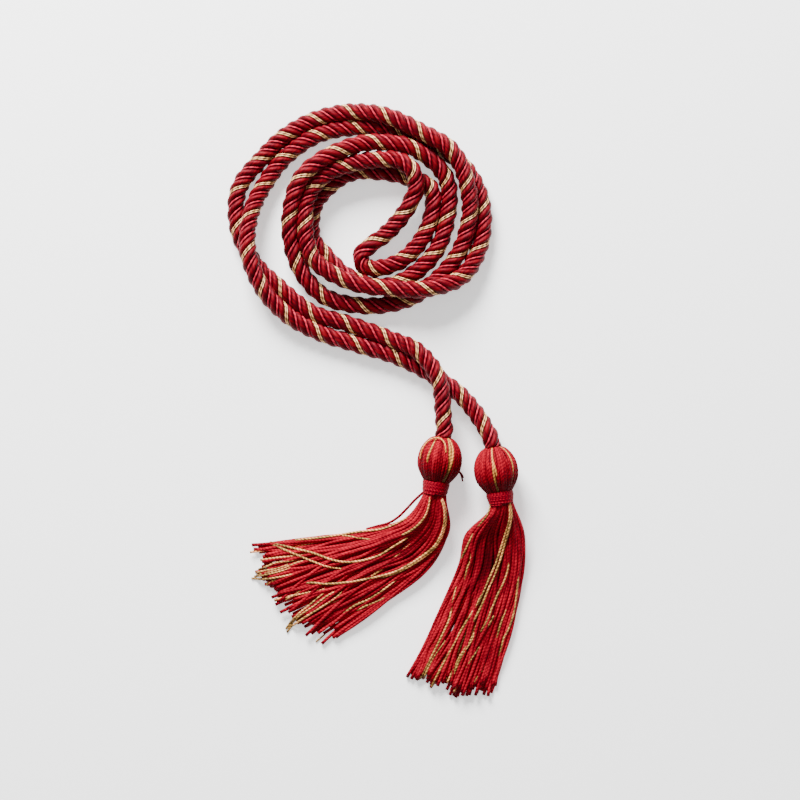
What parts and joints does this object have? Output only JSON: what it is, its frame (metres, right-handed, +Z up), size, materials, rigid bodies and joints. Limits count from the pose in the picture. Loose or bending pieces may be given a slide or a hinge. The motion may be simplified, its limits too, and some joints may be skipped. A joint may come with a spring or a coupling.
{
  "type": "honor cord",
  "caption": "Twisted honor cord folded and coiled flat, with a bulb-headed tassel on each end.",
  "frame": {"origin": "on the table under the middle of the lying cord's bounding box", "axes": "+Z up, +Y towards the coil, away from the tassels, +X to the right seen from above"},
  "size_m": [0.1324, 0.269, 0.02],
  "materials": {
    "rope_yarn": "glossy twisted crimson rayon with a thin gold line",
    "head_yarn": "glossy crimson rayon yarns laid from crown to neck, a few of them gold",
    "binding_thread": "crimson rayon thread wound tight",
    "skirt_yarn": "loose crimson rayon yarns, a few of them gold"
  },
  "bodies": {
    "root": {"cord": "rope_yarn", "tassel_left_head": "head_yarn", "tassel_left_binding": "binding_thread", "tassel_left_skirt": "skirt_yarn", "tassel_right_head": "head_yarn", "tassel_right_binding": "binding_thread", "tassel_right_skirt": "skirt_yarn"}
  },
  "joints": []
}
